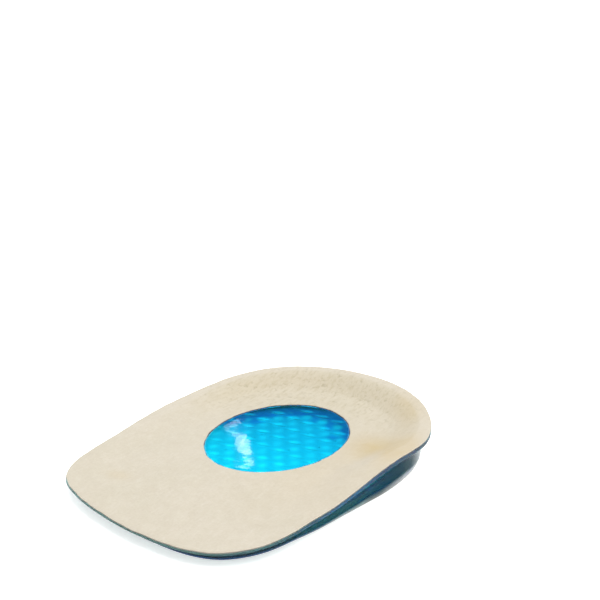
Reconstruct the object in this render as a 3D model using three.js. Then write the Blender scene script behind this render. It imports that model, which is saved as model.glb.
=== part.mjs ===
// Heel half-insole: a clear gel moulding under a suede top cover.
// Millimetres, +Z up. The toe end points to -Y and the heel to +Y. The sole lies
// on Z = 0, with the origin under the middle of the insole's box.

import * as THREE from 'three';

// ---- driving dimensions ---------------------------------------------------

const COVER_THICKNESS = 1.0; // suede cover
const SEAM_GAP = 0.3; // clearance between the cover and the gel
const COVER_EDGE = 0.25; // worn-off corner along the cover's cut edge
const LIP_FLAT = 2.5; // width of the level band along the rim
const CUP_WALL = 10.0; // width of the slope from that band down to the seat
const AROUND = 88; // points round each loop

// Oval window in the cover. The gel fills it, a little below the cover's top.
const WINDOW = { x: -0.5, y: 5.5, halfWidth: 16.7, halfLength: 22.5, sunk: 0.25 };

// Shallow oval pocket in the sole, under the window.
const POCKET = { x: 0.0, y: 3.0, halfWidth: 21.0, halfLength: 29.0, depth: 0.7, draft: 0.35 };

// Plan of the rim: reach from the middle, by bearing (0 = +X, 90 = heel end).
const RIM_PLAN = [
  { bearing: 0, reach: 33.4 },
  { bearing: 15, reach: 35.5 },
  { bearing: 30, reach: 39.4 },
  { bearing: 45, reach: 43.4 },
  { bearing: 60, reach: 47.0 },
  { bearing: 75, reach: 49.5 },
  { bearing: 90, reach: 50.2 },
  { bearing: 105, reach: 49.8 },
  { bearing: 120, reach: 47.7 },
  { bearing: 135, reach: 43.2 },
  { bearing: 150, reach: 38.3 },
  { bearing: 165, reach: 35.2 },
  { bearing: 180, reach: 34.1 },
  { bearing: 195, reach: 34.8 },
  { bearing: 210, reach: 38.1 },
  { bearing: 220, reach: 42.5 },
  { bearing: 230, reach: 47.9 },
  { bearing: 237, reach: 49.9 },
  { bearing: 246, reach: 49.9 },
  { bearing: 258, reach: 49.7 },
  { bearing: 272, reach: 50.5 },
  { bearing: 285, reach: 51.8 },
  { bearing: 293, reach: 51.2 },
  { bearing: 302, reach: 47.9 },
  { bearing: 315, reach: 40.5 },
  { bearing: 330, reach: 35.2 },
  { bearing: 345, reach: 33.0 },
];

// Cross sections from toe to heel. rim: height of the cover's top edge. seat: height
// of the cover's top along the middle. lip: thickness of the gel's flared edge.
// tuck: how far the wall stands in from the rim. foot: how far the flat sole does.
const SECTIONS = [
  { y: -51.0, rim: 3.4, seat: 3.4, lip: 0.5, tuck: 2.4, foot: 3.4 },
  { y: -40.0, rim: 4.2, seat: 3.8, lip: 0.7, tuck: 2.2, foot: 3.5 },
  { y: -22.0, rim: 5.4, seat: 4.4, lip: 1.0, tuck: 1.3, foot: 2.4 },
  { y: -5.0, rim: 6.7, seat: 4.9, lip: 1.2, tuck: 1.1, foot: 2.0 },
  { y: 12.0, rim: 7.4, seat: 5.4, lip: 1.3, tuck: 1.4, foot: 2.3 },
  { y: 26.0, rim: 8.3, seat: 5.9, lip: 1.4, tuck: 2.5, foot: 3.3 },
  { y: 40.0, rim: 9.5, seat: 6.5, lip: 1.5, tuck: 3.4, foot: 4.5 },
  { y: 51.0, rim: 10.5, seat: 7.0, lip: 1.6, tuck: 3.6, foot: 4.8 },
];

// Arch side: the rim stands higher here than its section says. bearing: where it
// is highest. spread: how far round it fades. height: the extra at the highest point.
const ARCH = { bearing: 5, spread: 22, height: 1.75 };

// Steps from the rim in to the window, as shares of the way.
const TOP_STEPS = [0.07, 0.15, 0.24, 0.34, 0.46, 0.6, 0.78];
// Wall of the gel, by share of its height: from the foot's curve up to the lip.
const FOOT_RISE = 0.3; // height of the rounded foot
const FOOT_STEPS = 4;
const WAIST_RISE = 0.6; // where the wall starts to flare out under the lip
const FLARE_RISE = 0.8; // middle of the flare
const FLARE_SHARE = 0.62; // share of the tuck left there

// ---- curves -----------------------------------------------------------------

const RAD = Math.PI / 180;

// Smooth curve through the rows of a table. A period closes it into a ring.
function through(rows, key, value, at, period = 0) {
  const n = rows.length;
  const turn = (i) => (period ? ((i % n) + n) % n : Math.min(Math.max(i, 0), n - 1));
  const place = (i) => rows[turn(i)][key] + (period ? Math.floor(i / n) * period : 0);
  const height = (i) => rows[turn(i)][value];
  const slope = (i) => {
    const run = place(i + 1) - place(i - 1);
    return run > 0 ? (height(i + 1) - height(i - 1)) / run : 0;
  };
  let x = at;
  if (period) x = ((at % period) + period) % period;
  else x = Math.min(Math.max(at, rows[0][key]), rows[n - 1][key]);
  let i = 0;
  while (i < n - 1 && place(i + 1) <= x) i++;
  if (!period && i === n - 1) return height(i);
  const step = place(i + 1) - place(i);
  const t = (x - place(i)) / step;
  const t2 = t * t;
  const t3 = t2 * t;
  return (
    height(i) * (2 * t3 - 3 * t2 + 1) +
    slope(i) * step * (t3 - 2 * t2 + t) +
    height(i + 1) * (3 * t2 - 2 * t3) +
    slope(i + 1) * step * (t3 - t2)
  );
}

const reach = (bearing) => through(RIM_PLAN, 'bearing', 'reach', bearing, 360);
const section = (value, y) => through(SECTIONS, 'y', value, y);

function rimPoint(bearing) {
  const r = reach(bearing);
  return new THREE.Vector2(r * Math.cos(bearing * RAD), r * Math.sin(bearing * RAD));
}

// Height of the cover's top along the rim.
function rimTop(bearing) {
  const off = ((((bearing - ARCH.bearing + 180) % 360) + 360) % 360) - 180;
  return section('rim', rimPoint(bearing).y) + ARCH.height * Math.exp(-((off / ARCH.spread) ** 2));
}

// Height of the cover's top at a place in plan.
function topHeight(p) {
  const bearing = Math.atan2(p.y, p.x) / RAD;
  const edge = rimPoint(bearing);
  const inside = Math.max(edge.length() - p.length(), 0);
  const rise = 1 - THREE.MathUtils.smoothstep(inside, LIP_FLAT, LIP_FLAT + CUP_WALL);
  const lift = rimTop(bearing) - section('seat', edge.y);
  return section('seat', p.y) + lift * rise;
}

// ---- loops --------------------------------------------------------------------

const bearings = Array.from({ length: AROUND }, (_, i) => (360 * i) / AROUND);
const rim = bearings.map((bearing) => {
  const at = rimPoint(bearing);
  const ahead = rimPoint(bearing + 0.5);
  const behind = rimPoint(bearing - 0.5);
  const along = ahead.sub(behind).normalize();
  const top = rimTop(bearing);
  return { at, inward: new THREE.Vector2(-along.y, along.x), top, gelTop: top - COVER_THICKNESS - SEAM_GAP };
});

const rimLoop = (inset, height) =>
  rim.map((r) => {
    const p = r.at.clone().addScaledVector(r.inward, inset(r));
    return new THREE.Vector3(p.x, p.y, height(r));
  });

const ovalPlan = (oval, grow) =>
  bearings.map(
    (bearing) =>
      new THREE.Vector2(
        oval.x + (oval.halfWidth + grow) * Math.cos(bearing * RAD),
        oval.y + (oval.halfLength + grow) * Math.sin(bearing * RAD),
      ),
  );

const raise = (plan, height) => plan.map((p) => new THREE.Vector3(p.x, p.y, height(p)));

// A closed skin over a stack of loops. ends: 'capped' closes the first and last
// loop to their middle, 'ring' joins the last loop back to the first.
function skin(loops, ends) {
  const position = [];
  const index = [];
  const count = loops.length;
  for (const loop of loops) for (const p of loop) position.push(p.x, p.y, p.z);
  const spans = ends === 'ring' ? count : count - 1;
  for (let k = 0; k < spans; k++) {
    const low = k * AROUND;
    const high = ((k + 1) % count) * AROUND;
    for (let i = 0; i < AROUND; i++) {
      const j = (i + 1) % AROUND;
      index.push(low + i, low + j, high + j, low + i, high + j, high + i);
    }
  }
  if (ends === 'capped') {
    for (const [loop, start, up] of [
      [loops[0], 0, false],
      [loops[count - 1], (count - 1) * AROUND, true],
    ]) {
      const middle = loop.reduce((sum, p) => sum.add(p), new THREE.Vector3()).divideScalar(AROUND);
      const hub = position.length / 3;
      position.push(middle.x, middle.y, middle.z);
      for (let i = 0; i < AROUND; i++) {
        const j = (i + 1) % AROUND;
        if (up) index.push(start + i, start + j, hub);
        else index.push(start + j, start + i, hub);
      }
    }
  }
  const geometry = new THREE.BufferGeometry();
  geometry.setAttribute('position', new THREE.Float32BufferAttribute(position, 3));
  geometry.setIndex(index);
  geometry.computeVertexNormals();
  return geometry;
}

// Loops between the rim and the window, on or below the cover's top.
function topLoops(edge, below) {
  return TOP_STEPS.map((share) => {
    const plan = rim.map((r, i) => r.at.clone().lerp(edge[i], share));
    return raise(plan, (p) => topHeight(p) - below);
  });
}

// ---- gel moulding ---------------------------------------------------------------

const gelDrop = COVER_THICKNESS + SEAM_GAP;
const island = ovalPlan(WINDOW, -SEAM_GAP);
const gelLoops = [];

// pocket in the sole, from its ceiling out to the flat sole
gelLoops.push(raise(ovalPlan(POCKET, -POCKET.draft), () => POCKET.depth));
gelLoops.push(raise(ovalPlan(POCKET, 0), () => 0));

// flat sole and its rounded foot
const sectionAt = (value) => (r) => section(value, r.at.y);
const tuck = sectionAt('tuck');
const foot = sectionAt('foot');
const lip = sectionAt('lip');
for (let k = 0; k <= FOOT_STEPS; k++) {
  const angle = (k / FOOT_STEPS) * 90 * RAD;
  gelLoops.push(
    rimLoop(
      (r) => foot(r) - (foot(r) - tuck(r)) * Math.sin(angle),
      (r) => FOOT_RISE * r.gelTop * (1 - Math.cos(angle)),
    ),
  );
}

// wall, flare and lip
gelLoops.push(rimLoop(tuck, (r) => FOOT_RISE * r.gelTop + (WAIST_RISE - FOOT_RISE) * (r.gelTop - lip(r)) * 0.8));
gelLoops.push(
  rimLoop(
    (r) => FLARE_SHARE * tuck(r),
    (r) => FOOT_RISE * r.gelTop + (1 - FOOT_RISE) * FLARE_RISE * (r.gelTop - lip(r)) * 0.86,
  ),
);
gelLoops.push(rimLoop(() => 0.2, (r) => r.gelTop - lip(r)));
gelLoops.push(rimLoop(() => 0.0, (r) => r.gelTop - 0.7 * lip(r)));
gelLoops.push(rimLoop(() => 0.0, (r) => r.gelTop));

// top under the cover, then the island that fills the window
gelLoops.push(...topLoops(island, gelDrop));
gelLoops.push(raise(island, (p) => topHeight(p) - gelDrop));
gelLoops.push(raise(island, (p) => topHeight(p) - WINDOW.sunk));
for (const share of [0.7, 0.35]) {
  gelLoops.push(
    raise(
      island.map((p) => new THREE.Vector2(WINDOW.x, WINDOW.y).lerp(p, share)),
      (p) => topHeight(p) - WINDOW.sunk,
    ),
  );
}

// ---- suede cover -------------------------------------------------------------------

const opening = ovalPlan(WINDOW, 0);
const coverLoops = [
  rimLoop(() => 0, (r) => r.top - COVER_THICKNESS),
  rimLoop(() => 0, (r) => r.top - COVER_EDGE),
  rimLoop(() => COVER_EDGE, (r) => r.top),
  ...topLoops(opening, 0),
  raise(opening, topHeight),
  raise(opening, (p) => topHeight(p) - COVER_THICKNESS),
  ...topLoops(opening, COVER_THICKNESS).reverse(),
];

// ---- scene graph -------------------------------------------------------------------

const gel = new THREE.Mesh(
  skin(gelLoops, 'capped'),
  new THREE.MeshStandardMaterial({ color: 0x1fb4d8, roughness: 0.08, metalness: 0 }),
);
gel.name = 'gel_body';

const cover = new THREE.Mesh(
  skin(coverLoops, 'ring'),
  new THREE.MeshStandardMaterial({ color: 0xe4dccb, roughness: 0.95, metalness: 0 }),
);
cover.name = 'suede_cover';

const insole = new THREE.Group();
insole.add(gel, cover);

// origin under the middle of the box
const box = new THREE.Box3().setFromObject(insole);
insole.position.set(-(box.min.x + box.max.x) / 2, -(box.min.y + box.max.y) / 2, 0);
insole.updateMatrixWorld(true);

export default insole;
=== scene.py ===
import math

import bpy
import numpy as np
from mathutils import Matrix, Vector


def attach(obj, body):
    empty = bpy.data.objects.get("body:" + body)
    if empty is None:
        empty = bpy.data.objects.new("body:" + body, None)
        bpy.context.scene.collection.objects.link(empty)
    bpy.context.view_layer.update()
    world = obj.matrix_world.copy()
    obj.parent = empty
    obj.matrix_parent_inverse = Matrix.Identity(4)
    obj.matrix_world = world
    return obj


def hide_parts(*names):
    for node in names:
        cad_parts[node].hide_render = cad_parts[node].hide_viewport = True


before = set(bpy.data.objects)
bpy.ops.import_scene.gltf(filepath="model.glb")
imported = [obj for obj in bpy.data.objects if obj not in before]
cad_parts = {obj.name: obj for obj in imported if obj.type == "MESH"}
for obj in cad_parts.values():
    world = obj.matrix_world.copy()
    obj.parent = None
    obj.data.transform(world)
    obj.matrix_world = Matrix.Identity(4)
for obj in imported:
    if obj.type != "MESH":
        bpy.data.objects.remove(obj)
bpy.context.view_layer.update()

MM = 0.001
scene = bpy.context.scene

# ---------------------------------------------------------------------------
# Sizes of the insole, in millimetres, as in the solids
# ---------------------------------------------------------------------------

COVER = 1.0          # thickness of the suede
EDGE = 0.42          # thickness left at the cover's pressed rim
BEDDED = 0.05        # how far the suede's underside beds into the gel
LIP_FLAT = 2.5       # level band along the rim
CUP_WALL = 10.0      # slope from that band down to the seat
WINDOW = dict(x=-0.5, y=5.5, a=16.7, b=22.5, sunk=0.22)
POCKET = dict(x=0.0, y=3.0, a=21.0, b=29.0, depth=0.7)

# reach of the rim from the middle, by bearing (0 = +X, 90 = heel end)
RIM_PLAN = np.array([
    (0, 33.4), (15, 35.5), (30, 39.4), (45, 43.4), (60, 47.0), (75, 49.5),
    (90, 50.2), (105, 49.8), (120, 47.7), (135, 43.2), (150, 38.3), (165, 35.2),
    (180, 34.1), (195, 34.8), (210, 38.1), (220, 42.5), (230, 47.9), (237, 49.9),
    (246, 49.9), (258, 49.7), (272, 50.5), (285, 51.8), (293, 51.2), (302, 47.9),
    (315, 40.5), (330, 35.2), (345, 33.0)])

# sections from toe to heel: place, rim, seat, lip, tuck, foot
SECTIONS = dict(zip(("y", "rim", "seat", "lip", "tuck", "foot"), np.array([
    (-51.0, 3.4, 3.4, 0.5, 2.4, 3.4),
    (-40.0, 4.2, 3.8, 0.7, 2.2, 3.5),
    (-22.0, 5.4, 4.4, 1.0, 1.3, 2.4),
    (-5.0, 6.7, 4.9, 1.2, 1.1, 2.0),
    (12.0, 7.4, 5.4, 1.3, 1.4, 2.3),
    (26.0, 8.3, 5.9, 1.4, 2.5, 3.3),
    (40.0, 9.5, 6.5, 1.5, 3.4, 4.5),
    (51.0, 10.5, 7.0, 1.6, 3.6, 4.8)]).T))

# the arch side, where the rim stands higher than its section says
ARCH = dict(bearing=5.0, spread=22.0, height=1.75)


def hermite(xs, ys, x, period=None):
    """Smooth curve through a table, closed into a ring by a period."""
    xs, ys, x = np.asarray(xs, float), np.asarray(ys, float), np.asarray(x, float)
    if period:
        xs = np.concatenate([xs[-2:] - period, xs, xs[:3] + period])
        ys = np.concatenate([ys[-2:], ys, ys[:3]])
        x = np.mod(x, period)
    else:
        x = np.clip(x, xs[0], xs[-1])
    m = np.empty_like(ys)
    m[1:-1] = (ys[2:] - ys[:-2]) / (xs[2:] - xs[:-2])
    m[0] = (ys[1] - ys[0]) / (xs[1] - xs[0])
    m[-1] = (ys[-1] - ys[-2]) / (xs[-1] - xs[-2])
    k = np.clip(np.searchsorted(xs, x, side="right") - 1, 0, len(xs) - 2)
    h = xs[k + 1] - xs[k]
    t = (x - xs[k]) / h
    t2, t3 = t * t, t * t * t
    return (ys[k] * (2 * t3 - 3 * t2 + 1) + m[k] * h * (t3 - 2 * t2 + t)
            + ys[k + 1] * (3 * t2 - 2 * t3) + m[k + 1] * h * (t3 - t2))


def reach(deg):
    return hermite(RIM_PLAN[:, 0], RIM_PLAN[:, 1], deg, 360.0)


def section(name, y):
    return hermite(SECTIONS["y"], SECTIONS[name], y)


def rim_xy(deg):
    r = reach(deg)
    a = np.radians(deg)
    return np.stack([r * np.cos(a), r * np.sin(a)], -1)


def rim_top(deg):
    """Height of the cover's top along the rim."""
    off = np.mod(deg - ARCH["bearing"] + 180.0, 360.0) - 180.0
    return section("rim", rim_xy(deg)[..., 1]) + ARCH["height"] * np.exp(-(off / ARCH["spread"]) ** 2)


def smoothstep(x, a, b):
    t = np.clip((x - a) / (b - a), 0.0, 1.0)
    return t * t * (3 - 2 * t)


def cup_rise(p):
    """1 on the level band along the rim, 0 on the seat."""
    deg = np.degrees(np.arctan2(p[..., 1], p[..., 0]))
    inside = np.maximum(reach(deg) - np.hypot(p[..., 0], p[..., 1]), 0)
    return 1 - smoothstep(inside, LIP_FLAT, LIP_FLAT + CUP_WALL)


def cover_thick(p):
    """Thickness of the cover, which is pressed thin along its rim."""
    deg = np.degrees(np.arctan2(p[..., 1], p[..., 0]))
    inside = np.maximum(reach(deg) - np.hypot(p[..., 0], p[..., 1]), 0)
    return EDGE + (COVER - EDGE) * smoothstep(inside, 0.1, 2.6)


def top_height(p):
    """Height of the cover's top at places in plan."""
    deg = np.degrees(np.arctan2(p[..., 1], p[..., 0]))
    edge_y = reach(deg) * np.sin(np.radians(deg))
    lift = rim_top(deg) - section("seat", edge_y)
    return section("seat", p[..., 1]) + lift * cup_rise(p)


# the solids' origin is under the middle of their box
_outline = rim_xy(np.arange(88) * 360.0 / 88)
SHIFT = (_outline.min(0) + _outline.max(0)) / 2

# ---------------------------------------------------------------------------
# Smooth seeded noise, for small unevenness of the shapes
# ---------------------------------------------------------------------------


def waves(seed, scale, count=28):
    """A smooth random field: a sum of plane waves about one scale, in mm."""
    rng = np.random.default_rng(seed)
    ang = rng.uniform(0, 2 * np.pi, count)
    freq = 2 * np.pi / scale * rng.uniform(0.6, 1.6, count)
    k = np.stack([np.cos(ang), np.sin(ang)], 0) * freq
    ph = rng.uniform(0, 2 * np.pi, count)

    def field(p):
        return np.sin(p[..., :2] @ k + ph).sum(-1) / math.sqrt(count / 2)
    return field


# ---------------------------------------------------------------------------
# Lofted skins
# ---------------------------------------------------------------------------


def skin(loops, closed_ring):
    """Vertices and faces over a stack of loops, capped or joined into a ring."""
    n = len(loops[0])
    verts = np.concatenate(loops)
    count = len(loops)
    i = np.arange(n)
    j = (i + 1) % n
    quads = []
    for k in range(count if closed_ring else count - 1):
        lo, hi = k * n, ((k + 1) % count) * n
        quads.append(np.stack([lo + i, lo + j, hi + j, hi + i], 1))
    faces = np.concatenate(quads).tolist()
    if not closed_ring:
        hub = len(verts)
        verts = np.concatenate([verts, [loops[0].mean(0)], [loops[-1].mean(0)]])
        faces += np.stack([j, i, np.full(n, hub)], 1).tolist()
        last = (count - 1) * n
        faces += np.stack([last + i, last + j, np.full(n, hub + 1)], 1).tolist()
    return verts, faces


def make_object(name, verts, faces, shift=True):
    v = np.array(verts, float)
    if shift:
        v[:, :2] -= SHIFT
    mesh = bpy.data.meshes.new(name)
    mesh.from_pydata((v * MM).tolist(), [], faces)
    mesh.validate()
    mesh.shade_smooth()
    ob = bpy.data.objects.new(name, mesh)
    scene.collection.objects.link(ob)
    return ob


# ---------------------------------------------------------------------------
# The gel moulding
# ---------------------------------------------------------------------------

NA = 384
DEG = np.arange(NA) * 360.0 / NA
RIM = rim_xy(DEG)
_along = rim_xy(DEG + 0.25) - rim_xy(DEG - 0.25)
_along /= np.linalg.norm(_along, axis=1)[:, None]
INWARD = np.stack([-_along[:, 1], _along[:, 0]], 1)
RIM_TOP = rim_top(DEG)
LIP, TUCK, FOOT = (section(k, RIM[:, 1]) for k in ("lip", "tuck", "foot"))
GEL_RIM = RIM_TOP - EDGE


def rim_loop(inset, z):
    p = RIM + INWARD * np.broadcast_to(inset, (NA,))[:, None]
    return np.column_stack([p, np.broadcast_to(z, (NA,))])


def oval(o, grow=0.0, share=1.0):
    a = np.radians(DEG)
    return np.stack([o["x"] + (o["a"] + grow) * share * np.cos(a),
                     o["y"] + (o["b"] + grow) * share * np.sin(a)], 1)


# wave bars of the relief, which run along the length side by side
BAR = dict(x=-5.7, y=21.3, turn=-8.0, pitch=5.25, period=6.25, swing=2.0, half=1.0, tall=0.035)


def lattice(p):
    """Places in the relief's own turned frame: across and along the bars."""
    c, s = math.cos(math.radians(BAR["turn"])), math.sin(math.radians(BAR["turn"]))
    x, y = p[..., 0] - BAR["x"], p[..., 1] - BAR["y"]
    return c * x + s * y, c * y - s * x


def bars(p, wide=1.35):
    """Height of the wave bars over the pocket's ceiling, 0 to 1."""
    x, y = lattice(p)
    phase = 2 * np.pi * y / BAR["period"]
    mid = BAR["swing"] * np.sin(phase)
    slope = BAR["swing"] * 2 * np.pi / BAR["period"] * np.cos(phase)
    off = x - mid
    off = (off + BAR["pitch"] / 2) % BAR["pitch"] - BAR["pitch"] / 2
    d = np.abs(off) / np.sqrt(1 + slope * slope)
    full = 0.22 + 0.78 * smoothstep(np.cos(phase), 0.35, 0.95)  # the crosswise runs stand proud
    return full * (1 - smoothstep(d, BAR["half"] * 0.25, BAR["half"] * wide))


def dashes(p):
    """The crosswise runs alone, 0 to 1."""
    x, y = lattice(p)
    x = (x + BAR["pitch"] / 2) % BAR["pitch"] - BAR["pitch"] / 2
    y = (y + BAR["period"] / 2) % BAR["period"] - BAR["period"] / 2
    steep = math.atan2(BAR["period"], 2 * math.pi * BAR["swing"])
    along = x * math.cos(steep) + y * math.sin(steep)
    across = y * math.cos(steep) - x * math.sin(steep)
    return (1 - smoothstep(np.abs(along), 1.1, 2.1)) * (1 - smoothstep(np.abs(across), 0.3, 1.15))


def glint_spots(p):
    """Soft spots between the bars, in files across them, 0 to 1; where they tint the ceiling lighter they are painted
    glints.
    """
    x, y = lattice(p)
    x, y = x / BAR["pitch"], y / BAR["period"]
    files = 0.5 + 0.5 * np.cos(2 * np.pi * (x + y))
    return files * (0.62 + 0.38 * np.cos(2 * np.pi * (x - y)))


gel_loops = []

# pocket ceiling with the relief, from the middle outwards
RINGS = 96
for k in range(1, RINGS + 1):
    share = k / RINGS
    p = oval(POCKET, -0.55, share)
    fade = 1 - smoothstep(share, 0.93, 0.985)
    z = POCKET["depth"] - BAR["tall"] * bars(p) * fade
    gel_loops.append(np.column_stack([p, np.broadcast_to(z, (NA,))]))
# rounded step down to the sole, with a low bead along it
for grow, z in ((-0.40, 0.66), (-0.28, 0.52), (-0.22, 0.34), (-0.14, 0.16), (0.0, 0.05), (0.2, 0.0)):
    gel_loops.append(np.column_stack([oval(POCKET, grow), np.full(NA, z)]))
# flat sole
sole_in = oval(POCKET, 0.2)
sole_out = rim_loop(FOOT, 0.0)[:, :2]
for s in (0.12, 0.3, 0.5, 0.7, 0.88, 0.97):
    gel_loops.append(np.column_stack([sole_in + (sole_out - sole_in) * s, np.zeros(NA)]))
# rounded foot
lip_tall = 0.85 * LIP
lip_low = GEL_RIM - lip_tall
foot_top = 0.34 * GEL_RIM
FOOT_SLANT = 1.6     # 1 is a full round, 2 a plain slant
belly = TUCK - 0.25 * smoothstep(RIM[:, 1], -40.0, -10.0)
for k in range(15):
    a = math.radians(90.0 * k / 14)
    out, up_by = math.sin(a) ** FOOT_SLANT, 1 - max(math.cos(a), 0.0) ** FOOT_SLANT
    gel_loops.append(rim_loop(FOOT - (FOOT - belly) * out, foot_top * up_by))
# wall up to the neck, then the cove under the lip
neck = lip_low - np.minimum(0.75 * TUCK, 0.5 * (lip_low - foot_top))
for k in range(1, 7):
    s = k / 6.0
    gel_loops.append(rim_loop(belly + (TUCK - belly) * smoothstep(np.array(s), 0, 1), foot_top + (neck - foot_top) * s))
for k in range(1, 13):
    a = math.radians(90.0 * k / 12)
    gel_loops.append(rim_loop(TUCK - (TUCK - 0.28) * (1 - math.cos(a)), neck + (lip_low - neck) * math.sin(a)))
# rounded lip edge
for inset, share in ((0.14, 0.04), (0.05, 0.14), (0.01, 0.30), (0.0, 0.50), (0.0, 0.72), (0.02, 0.88), (0.07, 0.97), (0.15, 1.0)):
    gel_loops.append(rim_loop(inset, lip_low + lip_tall * share))
# top, hidden under the cover
island = oval(WINDOW, -0.02)
start = RIM + INWARD * 0.3
for s in (0.0, 0.02, 0.04, 0.07, 0.1, 0.14, 0.19, 0.25, 0.32, 0.4, 0.5, 0.62, 0.75, 0.88, 0.96):
    p = start + (island - start) * s
    gel_loops.append(np.column_stack([p, top_height(p) - cover_thick(p) + BEDDED]))
# the island in the window, rounded over at the cover's cut edge and dished inside
for grow, drop in ((-0.02, COVER - BEDDED), (-0.02, 0.50), (-0.05, 0.33), (-0.14, 0.262), (-0.35, 0.236)):
    p = oval(WINDOW, grow)
    gel_loops.append(np.column_stack([p, top_height(p) - drop]))
swell = waves(5, 14.0)
for p in [oval(WINDOW, -0.8), oval(WINDOW, -1.6)] + [oval(WINDOW, 0.0, s) for s in np.linspace(0.87, 0.04, 30)]:
    s2 = ((p[:, 0] - WINDOW["x"]) / WINDOW["a"]) ** 2 + ((p[:, 1] - WINDOW["y"]) / WINDOW["b"]) ** 2
    z = top_height(p) - WINDOW["sunk"] - 0.10 * (1 - s2) + 0.007 * swell(p) * (1 - s2 ** 2)
    gel_loops.append(np.column_stack([p, z]))

gel_verts, gel_faces = skin(gel_loops, False)


# trapped bubbles: small round voids inside the gel
def bubble(centre, r, rows=6, cols=10):
    v = [(0, 0, r)]
    for i in range(1, rows):
        a = math.pi * i / rows
        for j in range(cols):
            b = 2 * math.pi * j / cols
            v.append((r * math.sin(a) * math.cos(b), r * math.sin(a) * math.sin(b), r * math.cos(a)))
    v.append((0, 0, -r))
    f = []
    for j in range(cols):
        f.append((0, 1 + (j + 1) % cols, 1 + j))  # faces point into the void
        base = 1 + (rows - 2) * cols
        f.append((len(v) - 1, base + j, base + (j + 1) % cols))
        for i in range(rows - 2):
            a0, a1 = 1 + i * cols + j, 1 + i * cols + (j + 1) % cols
            f.append((a0, a1, a1 + cols, a0 + cols))
    return np.array(v) + centre, f


rng = np.random.default_rng(11)
bubbles_v, bubbles_f, at = [], [], len(gel_verts)
for k in range(70):
    a = rng.uniform(0, 2 * math.pi)
    ring = rng.normal(0.93, 0.07) if k < 46 else rng.uniform(0.2, 0.9)
    p = np.array([POCKET["x"] + POCKET["a"] * ring * math.cos(a), POCKET["y"] + POCKET["b"] * ring * math.sin(a)])
    r = rng.uniform(0.07, 0.19)
    ceiling = float(top_height(p)) - COVER - 0.4
    z = rng.uniform(1.0, min(2.6, ceiling))
    v, f = bubble(np.array([p[0], p[1], z]), r)
    bubbles_v.append(v)
    bubbles_f += [tuple(at + q for q in face) for face in f]
    at += len(v)
gel_verts = np.concatenate([gel_verts] + bubbles_v)
gel_faces = gel_faces + bubbles_f
gel = make_object("gel_moulding", gel_verts, gel_faces)
gel.visible_shadow = False


def mark(ob, name, values):
    ob.data.attributes.new(name, "FLOAT", "POINT").data.foreach_set("value", np.asarray(values, np.float32))


# painted shade: the ceiling's tint darkens along the window's heel side, in a band with an uneven edge, where the view
# passes under the cover
cell = gel_verts[:, :2]
away = (cell[:, 0] - WINDOW["x"]) * -0.25 + (cell[:, 1] - WINDOW["y"]) * 0.97
outward = np.hypot((cell[:, 0] - WINDOW["x"]) / WINDOW["a"], (cell[:, 1] - WINDOW["y"]) / WINDOW["b"])
ragged = 20.0 * (outward - 0.82) - 3.4 * glint_spots(cell) + 1.3 * waves(43, 6.0)(cell)
band = smoothstep(ragged, -4.0, 2.5) * smoothstep(away, 2.0, 8.0)
under_cover_shade = 0.30 * smoothstep(away, -16.0, 8.0) + 0.70 * band
mark(gel, "under_cover_shade", under_cover_shade)
# the bars' faces are frosted, and the ceiling between them in spots: these places are rougher, and their lighter tint
# is painted glints, strongest on the crosswise runs in the shaded band
relief = np.zeros(len(gel_verts))
relief[:RINGS * NA] = 1.0
mark(gel, "relief", relief)
uneven = 0.82 + 0.18 * np.clip(waves(41, 5.0)(cell), -1, 1)
glint_runs = np.maximum((0.30 + 0.70 * under_cover_shade ** 2) * dashes(cell), 0.20 * bars(cell))
mark(gel, "frost_and_glint", relief * np.clip(uneven * (glint_runs + 1.0 * (1 - under_cover_shade) * glint_spots(cell)), 0, 1))
# the satin side wall from the foot to the lip, and its thin run along the toe; its tints are painted reflections at the
# foot, lip and toe and painted shade in the cove
WALL_FROM = RINGS + 6 + 6
wall_rows = np.zeros(len(gel_verts))
wall_rows[WALL_FROM * NA:(WALL_FROM + 15 + 6 + 12 + 8) * NA] = 1.0
mark(gel, "wall", wall_rows)
mark(gel, "rise", gel_verts[:, 2] / np.resize(GEL_RIM, len(gel_verts)))
mark(gel, "toe", wall_rows * smoothstep(-gel_verts[:, 1] - 0.3 * gel_verts[:, 0], 8.0, 34.0))

# ---------------------------------------------------------------------------
# The suede cover
# ---------------------------------------------------------------------------

edge_wobble = waves(21, 7.0)
edge_fray = waves(22, 1.3)
nap_low = waves(31, 9.0)
nap_mid = waves(32, 3.2)

wob = 0.035 * edge_wobble(RIM) + 0.02 * edge_fray(RIM)
win_xy = oval(WINDOW)
win_wob = 0.05 * edge_wobble(win_xy + 40.0) + 0.03 * edge_fray(win_xy + 40.0)
win_out = win_xy - np.array([WINDOW["x"], WINDOW["y"]])
win_out /= np.linalg.norm(win_out, axis=1)[:, None]

cover_loops = []
# cut edge along the rim, from below
for inset, drop in ((0.16, EDGE), (0.12, 0.32), (0.11, 0.22), (0.13, 0.13), (0.18, 0.06), (0.26, 0.02)):
    cover_loops.append(rim_loop(inset + wob, RIM_TOP - drop))
# top, from the rim in to the window
TOP_RINGS = 64
inner = win_xy + win_out * (0.36 + win_wob)[:, None]
outer = RIM + INWARD * (0.36 + wob)[:, None]
for k in range(TOP_RINGS + 1):
    s = k / TOP_RINGS
    p = outer + (inner - outer) * s
    fade = smoothstep(np.full(NA, s), 0.0, 0.05) * (1 - smoothstep(np.full(NA, s), 0.95, 1.0))
    z = top_height(p) + fade * (0.035 * nap_low(p) + 0.02 * nap_mid(p))
    cover_loops.append(np.column_stack([p, z]))
# cut edge of the window
for grow, drop in ((0.22, 0.03), (0.11, 0.10), (0.04, 0.22), (0.01, 0.4), (0.0, 0.65), (0.0, 1.0)):
    p = win_xy + win_out * (grow + win_wob)[:, None]
    cover_loops.append(np.column_stack([p, top_height(p) - drop]))
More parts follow.
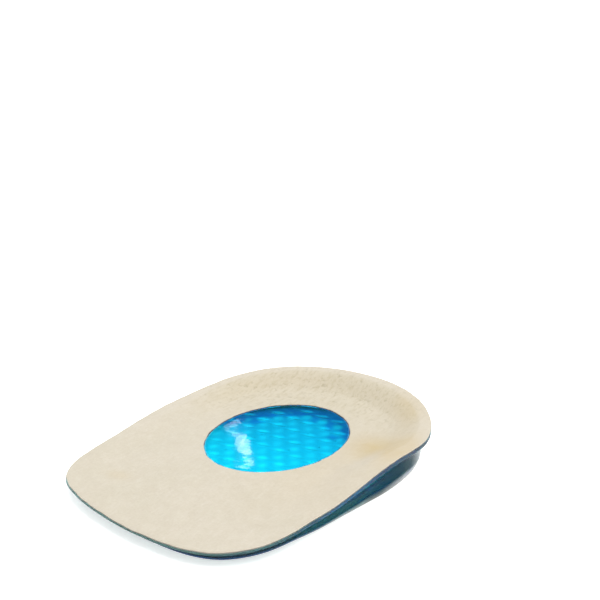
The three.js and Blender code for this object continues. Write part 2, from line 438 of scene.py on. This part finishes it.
# underside, back out to the rim
below_in = win_xy + win_out * (0.3 + win_wob)[:, None]
below_out = RIM + INWARD * (0.4 + wob)[:, None]
UNDER_RINGS = 22
for s in 1 - (1 - np.linspace(0.0, 1.0, UNDER_RINGS)) ** 1.6:
    p = below_in + (below_out - below_in) * s
    cover_loops.append(np.column_stack([p, top_height(p) - cover_thick(p)]))

cover_verts, cover_faces = skin(cover_loops, True)
cover = make_object("suede_top", cover_verts, cover_faces)

# where the cup's wall has darker ochre patches, partly a stain and partly painted shade, where the nap is darker and
# rougher towards the heel, and which face is the bonded underside
p = cover_verts[:, :2]
rise = cup_rise(p)
wall = np.clip(4 * rise * (1 - rise), 0, 1)
def blot(x, y, rx, ry, turn):
    c, s = math.cos(math.radians(turn)), math.sin(math.radians(turn))
    u, v = p[:, 0] - x, p[:, 1] - y
    return np.exp(-(((c * u + s * v) / rx) ** 2 + ((c * v - s * u) / ry) ** 2))


mark(cover, "cup_wall", np.clip(0.9 * blot(23.8, 12.3, 6.8, 7.0, 0) + 1.35 * blot(31.4, 9.5, 3.2, 9.5, 0)
                                + 0.20 * blot(20.0, -8.0, 15.0, 22.0, 0)
                                + 0.5 * blot(22.5, 36.0, 3.5, 10.0, 32) + 0.30 * blot(-19.0, -34.0, 3.0, 2.0, 0)
                                + 0.14 * wall * smoothstep(p[:, 1], 2.0, 26.0), 0, 1))
mark(cover, "heel", smoothstep(p[:, 1] - 0.35 * p[:, 0], 2.0, 34.0))
# the level band along the rim, tinted paler in the shader as a painted highlight
mark(cover, "lip", smoothstep(rise, 0.93, 1.0) * smoothstep(p[:, 1], -20.0, 15.0))
# the cut faces along the rim and round the window, painted dark as painted shade
cut_edge_shade = np.zeros(len(cover_verts))
cut_edge_shade[:3 * NA] = 0.6
at = (6 + TOP_RINGS + 1) * NA
cut_edge_shade[at + 2 * NA:at + 7 * NA] = 1.0
mark(cover, "cut_edge_shade", cut_edge_shade)
under = np.zeros(len(cover_verts))
under[-UNDER_RINGS * NA:] = 1.0
mark(cover, "under", under)

# ---------------------------------------------------------------------------
# Materials
# ---------------------------------------------------------------------------


class Nodes:
    """A short hand for making node trees."""

    def __init__(self, name):
        self.mat = bpy.data.materials.new(name)
        self.mat.use_nodes = True
        self.tree = self.mat.node_tree
        self.tree.nodes.clear()
        self.out = self.add("ShaderNodeOutputMaterial")

    def add(self, kind, **props):
        n = self.tree.nodes.new(kind)
        for k, v in props.items():
            setattr(n, k, v)
        return n

    def link(self, a, b):
        self.tree.links.new(a, b)

    def put(self, socket, value):
        if isinstance(value, bpy.types.NodeSocket):
            self.link(value, socket)
        else:
            socket.default_value = value

    def noise(self, vector, scale, detail=3.0, rough=0.55, distort=0.0):
        n = self.add("ShaderNodeTexNoise")
        self.link(vector, n.inputs["Vector"])
        n.inputs["Scale"].default_value = scale
        n.inputs["Detail"].default_value = detail
        n.inputs["Roughness"].default_value = rough
        n.inputs["Distortion"].default_value = distort
        return n.outputs["Fac"]

    def remap(self, value, a, b, c, d):
        n = self.add("ShaderNodeMapRange")
        self.put(n.inputs["Value"], value)
        for k, v in zip(("From Min", "From Max", "To Min", "To Max"), (a, b, c, d)):
            n.inputs[k].default_value = v
        return n.outputs["Result"]

    def math(self, op, a, b=0.0):
        n = self.add("ShaderNodeMath", operation=op)
        self.put(n.inputs[0], a)
        self.put(n.inputs[1], b)
        return n.outputs[0]

    def mix(self, fac, a, b, blend="MIX"):
        n = self.add("ShaderNodeMix", data_type="RGBA", blend_type=blend)
        self.put(n.inputs[0], fac)
        self.put(n.inputs[6], a)
        self.put(n.inputs[7], b)
        return n.outputs[2]


def srgb(r, g, b, k=1.0):
    lin = [(c / 255 / 12.92) if c <= 10 else ((c / 255 + 0.055) / 1.055) ** 2.4 for c in (r, g, b)]
    return (*[c * k for c in lin], 1.0)


# clear blue gel
g = Nodes("gel_clear_blue")
bsdf = g.add("ShaderNodeBsdfPrincipled")
bsdf.inputs["Transmission Weight"].default_value = 0.97
bsdf.inputs["Specular IOR Level"].default_value = 0.25
bsdf.inputs["IOR"].default_value = 1.43
co = g.add("ShaderNodeTexCoord").outputs["Object"]
smear = g.noise(co, 160.0, 3.0, 0.6, 0.4)
frost_glint = g.add("ShaderNodeAttribute", attribute_name="frost_and_glint").outputs["Fac"]
relief = g.add("ShaderNodeAttribute", attribute_name="relief").outputs["Fac"]
toe = g.add("ShaderNodeAttribute", attribute_name="toe").outputs["Fac"]
wall = g.add("ShaderNodeAttribute", attribute_name="wall").outputs["Fac"]
rise = g.add("ShaderNodeAttribute", attribute_name="rise").outputs["Fac"]
lip = g.remap(rise, 0.70, 0.90, 0.0, 1.0)
edge = g.math("MULTIPLY", wall, g.math("ADD", g.math("MULTIPLY", lip, 0.32), 0.14))
dull = g.math("ADD", g.math("MULTIPLY", relief, 0.30), g.math("MULTIPLY", frost_glint, 0.25))
g.link(g.math("ADD", g.remap(smear, 0.35, 0.75, 0.02, 0.05), g.math("ADD", dull, edge)), bsdf.inputs["Roughness"])
# ceiling tints: the dark navy between the bars in the shaded band is painted shade, and the lighter tint on frosted
# places is painted glints
under_cover_shade = g.add("ShaderNodeAttribute", attribute_name="under_cover_shade").outputs["Fac"]
between = g.mix(under_cover_shade, (0.005, 0.43, 0.58, 1.0), (0.003, 0.036, 0.37, 1.0))
ridge = g.mix(under_cover_shade, (0.04, 1.0, 1.0, 1.0), (0.06, 0.52, 1.0, 1.0))
# the wall's tints are painted light: paler foot, lip and toe run as painted reflections, and a darker teal cove under
# the lip as painted shade
side = g.mix(g.remap(rise, 0.10, 0.36, 1.0, 0.0), (0.12, 0.60, 0.34, 1.0), (0.60, 0.62, 0.20, 1.0))
side = g.mix(lip, side, (0.80, 0.82, 0.80, 1.0))
# painted glints: frosted places on the ceiling take the lighter ridge tint
tint = g.mix(relief, g.mix(wall, (0.04, 0.92, 0.98, 1.0), g.mix(toe, side, (0.60, 0.74, 0.70, 1.0))), g.mix(frost_glint, between, ridge))
g.link(tint, bsdf.inputs["Base Color"])
flow = g.noise(co, 420.0, 2.0, 0.5)
bump = g.add("ShaderNodeBump")
bump.inputs["Strength"].default_value = 0.025
bump.inputs["Distance"].default_value = 0.0002
g.link(flow, bump.inputs["Height"])
g.link(bump.outputs["Normal"], bsdf.inputs["Normal"])
g.link(bsdf.outputs[0], g.out.inputs["Surface"])
absorb = g.add("ShaderNodeVolumeAbsorption")
absorb.inputs["Color"].default_value = (0.0, 0.89, 0.97, 1.0)
absorb.inputs["Density"].default_value = 400.0
g.link(absorb.outputs[0], g.out.inputs["Volume"])
gel.data.materials.append(g.mat)

# beige microsuede
SUEDE = 0.68
s = Nodes("suede_beige")
bsdf = s.add("ShaderNodeBsdfPrincipled")
co = s.add("ShaderNodeTexCoord").outputs["Object"]
stretch = s.add("ShaderNodeMapping")
stretch.inputs["Rotation"].default_value = (0, 0, math.radians(24))
stretch.inputs["Scale"].default_value = (1.0, 0.28, 1.0)
s.link(co, stretch.inputs["Vector"])
grain = s.noise(co, 1900.0, 4.0, 0.65)
fibre = s.noise(stretch.outputs[0], 1500.0, 3.0, 0.6, 0.8)
mottle = s.noise(co, 330.0, 4.0, 0.62)
patch = s.noise(co, 62.0, 3.0, 0.55)
tone = s.mix(s.remap(patch, 0.35, 0.68, 0.0, 1.0), srgb(226, 218, 198, SUEDE), srgb(232, 223, 205, SUEDE))
tone = s.mix(s.remap(mottle, 0.30, 0.72, 0.55, 0.0), tone, srgb(217, 207, 186, SUEDE))
tone = s.mix(s.remap(grain, 0.32, 0.70, 0.32, 0.0), tone, srgb(200, 188, 166, SUEDE))
tone = s.mix(s.remap(fibre, 0.50, 0.78, 0.0, 0.30), tone, srgb(242, 236, 224, SUEDE))
# darker ochre patches on the cup's wall: partly a stain, partly painted shade
ochre_mask = s.add("ShaderNodeAttribute", attribute_name="cup_wall").outputs["Fac"]
stain_and_shade = s.math("MULTIPLY", ochre_mask, s.remap(s.noise(co, 95.0, 3.0, 0.6), 0.28, 0.62, 0.65, 1.0))
heel = s.add("ShaderNodeAttribute", attribute_name="heel").outputs["Fac"]
tone = s.mix(s.math("MULTIPLY", heel, 0.46), tone, srgb(222, 211, 184, SUEDE))
tone = s.mix(s.math("MULTIPLY", stain_and_shade, 0.9), tone, srgb(213, 191, 143, SUEDE))
lie = s.add("ShaderNodeMapping")
lie.inputs["Rotation"].default_value = (0, 0, math.radians(-38))
lie.inputs["Scale"].default_value = (1.0, 0.22, 1.0)
s.link(co, lie.inputs["Vector"])
strokes = s.noise(lie.outputs[0], 1250.0, 3.0, 0.6, 0.4)
specks = s.noise(co, 760.0, 2.0, 0.5)
tone = s.mix(s.math("MULTIPLY", heel, s.remap(strokes, 0.48, 0.70, 0.0, 0.42)), tone, srgb(190, 176, 140, SUEDE))
tone = s.mix(s.math("MULTIPLY", heel, s.remap(specks, 0.60, 0.72, 0.0, 0.40)), tone, srgb(168, 158, 128, SUEDE))
# painted highlight: the level band along the rim is tinted paler
lip = s.add("ShaderNodeAttribute", attribute_name="lip").outputs["Fac"]
tone = s.mix(s.math("MULTIPLY", lip, 0.28), tone, srgb(233, 224, 210, SUEDE))
# painted shade on the cut faces
cut_edge_shade = s.add("ShaderNodeAttribute", attribute_name="cut_edge_shade").outputs["Fac"]
tone = s.mix(cut_edge_shade, tone, srgb(72, 62, 76, SUEDE))
back = s.add("ShaderNodeAttribute", attribute_name="under").outputs["Fac"]
tone = s.mix(back, tone, srgb(190, 184, 172, SUEDE))
s.link(tone, bsdf.inputs["Base Color"])
s.link(s.remap(mottle, 0.3, 0.7, 0.86, 0.98), bsdf.inputs["Roughness"])
bsdf.inputs["Specular IOR Level"].default_value = 0.15
bsdf.inputs["Sheen Weight"].default_value = 0.25
bsdf.inputs["Sheen Roughness"].default_value = 0.55
bsdf.inputs["Sheen Tint"].default_value = (1.0, 0.97, 0.92, 1.0)
nap = s.math("ADD", s.math("MULTIPLY", grain, 0.6), s.math("ADD", s.math("MULTIPLY", fibre, 0.5), s.math("MULTIPLY", mottle, 0.8)))
bump = s.add("ShaderNodeBump")
bump.inputs["Strength"].default_value = 0.45
bump.inputs["Distance"].default_value = 0.00018
s.link(nap, bump.inputs["Height"])
s.link(bump.outputs["Normal"], bsdf.inputs["Normal"])
s.link(bsdf.outputs[0], s.out.inputs["Surface"])
cover.data.materials.append(s.mat)

# ---------------------------------------------------------------------------
# What each piece stands for
# ---------------------------------------------------------------------------

for piece, node, slot in ((gel, "gel_body", "gel"), (cover, "suede_cover", "suede")):
    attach(piece, "root")
    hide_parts(node)

# ---------------------------------------------------------------------------
# Floor, light and camera
# ---------------------------------------------------------------------------

def floor_piece(name, verts, faces, albedo, glow):
    mesh = bpy.data.meshes.new(name)
    mesh.from_pydata(verts, [], faces)
    f = Nodes(name)
    bsdf = f.add("ShaderNodeBsdfPrincipled")
    bsdf.inputs["Base Color"].default_value = (albedo, albedo, albedo, 1.0)
    bsdf.inputs["Roughness"].default_value = 0.7
    bsdf.inputs["Specular IOR Level"].default_value = 0.2
    bsdf.inputs["Emission Color"].default_value = (1.0, 1.0, 1.0, 1.0)
    bsdf.inputs["Emission Strength"].default_value = glow
    f.link(bsdf.outputs[0], f.out.inputs["Surface"])
    mesh.materials.append(f.mat)
    ob = bpy.data.objects.new(name, mesh)
    scene.collection.objects.link(ob)
    ob.visible_glossy = False


# floor: a glowing patch under the pocket (painted light), a dark sheet under the border (painted shade), and a softly
# lit white sweep that glows evenly
Z = -0.00004
SPAN = 12.0


def floor_ring(xy):
    return [((x - SHIFT[0]) * MM, (y - SHIFT[1]) * MM, Z) for x, y in xy]


pocket_ring = floor_ring(oval(POCKET, 3.5)[::4])
rim_ring = floor_ring((RIM + INWARD * 7.5)[::4])
far_ring = [(SPAN * math.cos(math.radians(d)), SPAN * math.sin(math.radians(d)), Z) for d in DEG[::4]]
n = len(rim_ring)
around = [(i, n + i, n + (i + 1) % n, (i + 1) % n) for i in range(n)]
# painted light: this patch glows under the window
floor_piece("floor_pocket_glow", pocket_ring, [list(range(n))], 0.60, 0.95)
# painted shade: a dark sheet under the gel's border
floor_piece("floor_border_shade", pocket_ring + rim_ring, around, 0.15, 0.0)
floor_piece("floor", rim_ring + far_ring, around, 0.93, 0.52)

SKY = 0.85            # sky overhead, which is brighter near the horizon
world = bpy.data.worlds.new("studio")
scene.world = world
world.use_nodes = True
bg = world.node_tree.nodes["Background"]
wn, wl = world.node_tree.nodes, world.node_tree.links
way = wn.new("ShaderNodeTexCoord")
split = wn.new("ShaderNodeSeparateXYZ")
wl.new(way.outputs["Generated"], split.inputs[0])
height = wn.new("ShaderNodeMapRange")
height.interpolation_type = "SMOOTHSTEP"
for k, v in zip(("From Min", "From Max", "To Min", "To Max"), (0.10, 0.55, 1.15, SKY)):
    height.inputs[k].default_value = v
wl.new(split.outputs["Z"], height.inputs["Value"])
below = wn.new("ShaderNodeMapRange")
below.interpolation_type = "SMOOTHSTEP"
for k, v in zip(("From Min", "From Max", "To Min", "To Max"), (-0.40, -0.10, 0.06, 1.0)):
    below.inputs[k].default_value = v
wl.new(split.outputs["Z"], below.inputs["Value"])
inward = wn.new("ShaderNodeVectorMath")
inward.operation = "DOT_PRODUCT"
inward.inputs[1].default_value = (-0.75, 0.66, 0.0)
wl.new(way.outputs["Generated"], inward.inputs[0])
inner = wn.new("ShaderNodeMapRange")
inner.interpolation_type = "SMOOTHSTEP"
for k, v in zip(("From Min", "From Max", "To Min", "To Max"), (0.12, 0.50, 0.0, 1.25)):
    inner.inputs[k].default_value = v
wl.new(inward.outputs["Value"], inner.inputs["Value"])
sunk = wn.new("ShaderNodeMapRange")
sunk.interpolation_type = "SMOOTHSTEP"
for k, v in zip(("From Min", "From Max", "To Min", "To Max"), (-0.20, -0.03, 1.0, 0.0)):
    sunk.inputs[k].default_value = v
wl.new(split.outputs["Z"], sunk.inputs["Value"])
nadir = wn.new("ShaderNodeMapRange")
nadir.interpolation_type = "SMOOTHSTEP"
for k, v in zip(("From Min", "From Max", "To Min", "To Max"), (-0.80, -0.58, 0.1, 1.0)):
    nadir.inputs[k].default_value = v
wl.new(split.outputs["Z"], nadir.inputs["Value"])
between_both = wn.new("ShaderNodeMath")
between_both.operation = "MULTIPLY"
wl.new(sunk.outputs["Result"], between_both.inputs[0])
wl.new(nadir.outputs["Result"], between_both.inputs[1])
from_floor = wn.new("ShaderNodeMath")
from_floor.operation = "MULTIPLY"
wl.new(inner.outputs["Result"], from_floor.inputs[0])
wl.new(between_both.outputs[0], from_floor.inputs[1])
lower = wn.new("ShaderNodeMath")
lower.operation = "MAXIMUM"
wl.new(below.outputs["Result"], lower.inputs[0])
wl.new(from_floor.outputs[0], lower.inputs[1])
toward = wn.new("ShaderNodeVectorMath")
toward.operation = "DOT_PRODUCT"
toward.inputs[1].default_value = (-0.52 * math.cos(math.radians(24)), 0.854 * math.cos(math.radians(24)), math.sin(math.radians(24)))
wl.new(way.outputs["Generated"], toward.inputs[0])
flag = wn.new("ShaderNodeMapRange")
flag.interpolation_type = "SMOOTHSTEP"
for k, v in zip(("From Min", "From Max", "To Min", "To Max"), (math.cos(math.radians(15)), math.cos(math.radians(8)), 1.0, 0.02)):
    flag.inputs[k].default_value = v
wl.new(toward.outputs["Value"], flag.inputs["Value"])
both = wn.new("ShaderNodeMath")
both.operation = "MULTIPLY"
wl.new(height.outputs["Result"], both.inputs[0])
wl.new(flag.outputs["Result"], both.inputs[1])
sky = wn.new("ShaderNodeMath")
sky.operation = "MULTIPLY"
wl.new(both.outputs[0], sky.inputs[0])
wl.new(lower.outputs[0], sky.inputs[1])
bg.inputs["Color"].default_value = (0.985, 0.99, 1.0, 1.0)
wl.new(sky.outputs[0], bg.inputs["Strength"])


key = bpy.data.lights.new("key", "SUN")
key.energy = 2.2
key.angle = math.radians(52)
key_ob = bpy.data.objects.new("key", key)
scene.collection.objects.link(key_ob)
key_ob.rotation_mode = "QUATERNION"
key_ob.rotation_quaternion = Vector((-0.24, -0.14, -0.95)).to_track_quat("-Z", "Y")

# camera, in the solids' frame
AZ, EL, ROLL = math.radians(29.7), math.radians(13.2), math.radians(2.7)
DIST, FOCAL, PX, PY = 213.0, 850.0, 275.9, 463.0
back = Vector((math.sin(AZ) * math.cos(EL), -math.cos(AZ) * math.cos(EL), math.sin(EL)))
right = Vector((math.cos(AZ), math.sin(AZ), 0))
up = back.cross(right)
place = back * DIST - right * ((PX - 300) * DIST / FOCAL) + up * ((PY - 300) * DIST / FOCAL)
place = (place - Vector((SHIFT[0], SHIFT[1], 0))) * MM
right2 = right * math.cos(ROLL) + up * math.sin(ROLL)
up2 = up * math.cos(ROLL) - right * math.sin(ROLL)
cam_data = bpy.data.cameras.new("camera")
cam_data.sensor_width = 36.0
cam_data.lens = FOCAL / 600.0 * 36.0
cam_data.clip_start, cam_data.clip_end = 0.005, 100.0
cam = bpy.data.objects.new("camera", cam_data)
scene.collection.objects.link(cam)
m = Matrix((right2, up2, back)).transposed().to_4x4()
m.translation = place
cam.matrix_world = m
scene.camera = cam

# small soft lights that show as a broken band in the window: place and size in
# the picture, lean, and radiance
BAND = [
    (227.5, 426.0, 8.0, 3.5, -20.0, 1.2),
    (236.0, 431.0, 10.0, 7.0, -20.0, 1.7),
    (241.5, 439.0, 14.0, 10.0, 25.0, 2.5),
    (246.0, 448.0, 14.5, 10.0, 25.0, 2.7),
    (248.5, 455.0, 10.0, 5.0, 20.0, 2.4),
    (248.6, 458.0, 8.0, 3.0, 10.0, 2.2),
    (242.0, 467.8, 13.0, 4.0, 0.0, 2.5)]


def island_height(p):
    u = (p[0] - WINDOW["x"]) / WINDOW["a"]
    v = (p[1] - WINDOW["y"]) / WINDOW["b"]
    return float(top_height(np.array(p))) - WINDOW["sunk"] - 0.10 * (1 - u * u - v * v)


def band_light(k, px, py, wide, tall, lean, radiance):
    ray = (right2 * (px - 300) - up2 * (py - 300) - back * FOCAL).normalized()
    z = 0.005
    for _ in range(8):
        hit = place + ray * ((z - place.z) / ray.z)
        x, y = hit.x / MM + SHIFT[0], hit.y / MM + SHIFT[1]
        z = island_height((x, y)) * MM
    e = 0.2
    face = Vector((island_height((x - e, y)) - island_height((x + e, y)),
                   island_height((x, y - e)) - island_height((x, y + e)), 2 * e)).normalized()
    mirror = ray - 2 * ray.dot(face) * face
    far = 0.42
    unit = ((hit - place).length + far) / FOCAL
    lit = bpy.data.lights.new("band_%d" % k, "AREA")
    lit.shape = "ELLIPSE"
    lit.size, lit.size_y = wide * unit, tall * unit
    lit.energy = radiance * math.pi * math.pi / 4 * lit.size * lit.size_y
    ob = bpy.data.objects.new(lit.name, lit)
    scene.collection.objects.link(ob)
    ob.location = hit + mirror * far
    ob.rotation_mode = "QUATERNION"
    turn = Matrix.Rotation(math.radians(lean), 4, "Z").to_quaternion()
    ob.rotation_quaternion = (-mirror).to_track_quat("-Z", "Y") @ turn
    ob.visible_camera = False


for k, row in enumerate(BAND):
    band_light(k, *row)

scene.view_settings.view_transform = "Standard"
scene.view_settings.look = "None"
scene.cycles.use_denoising = True
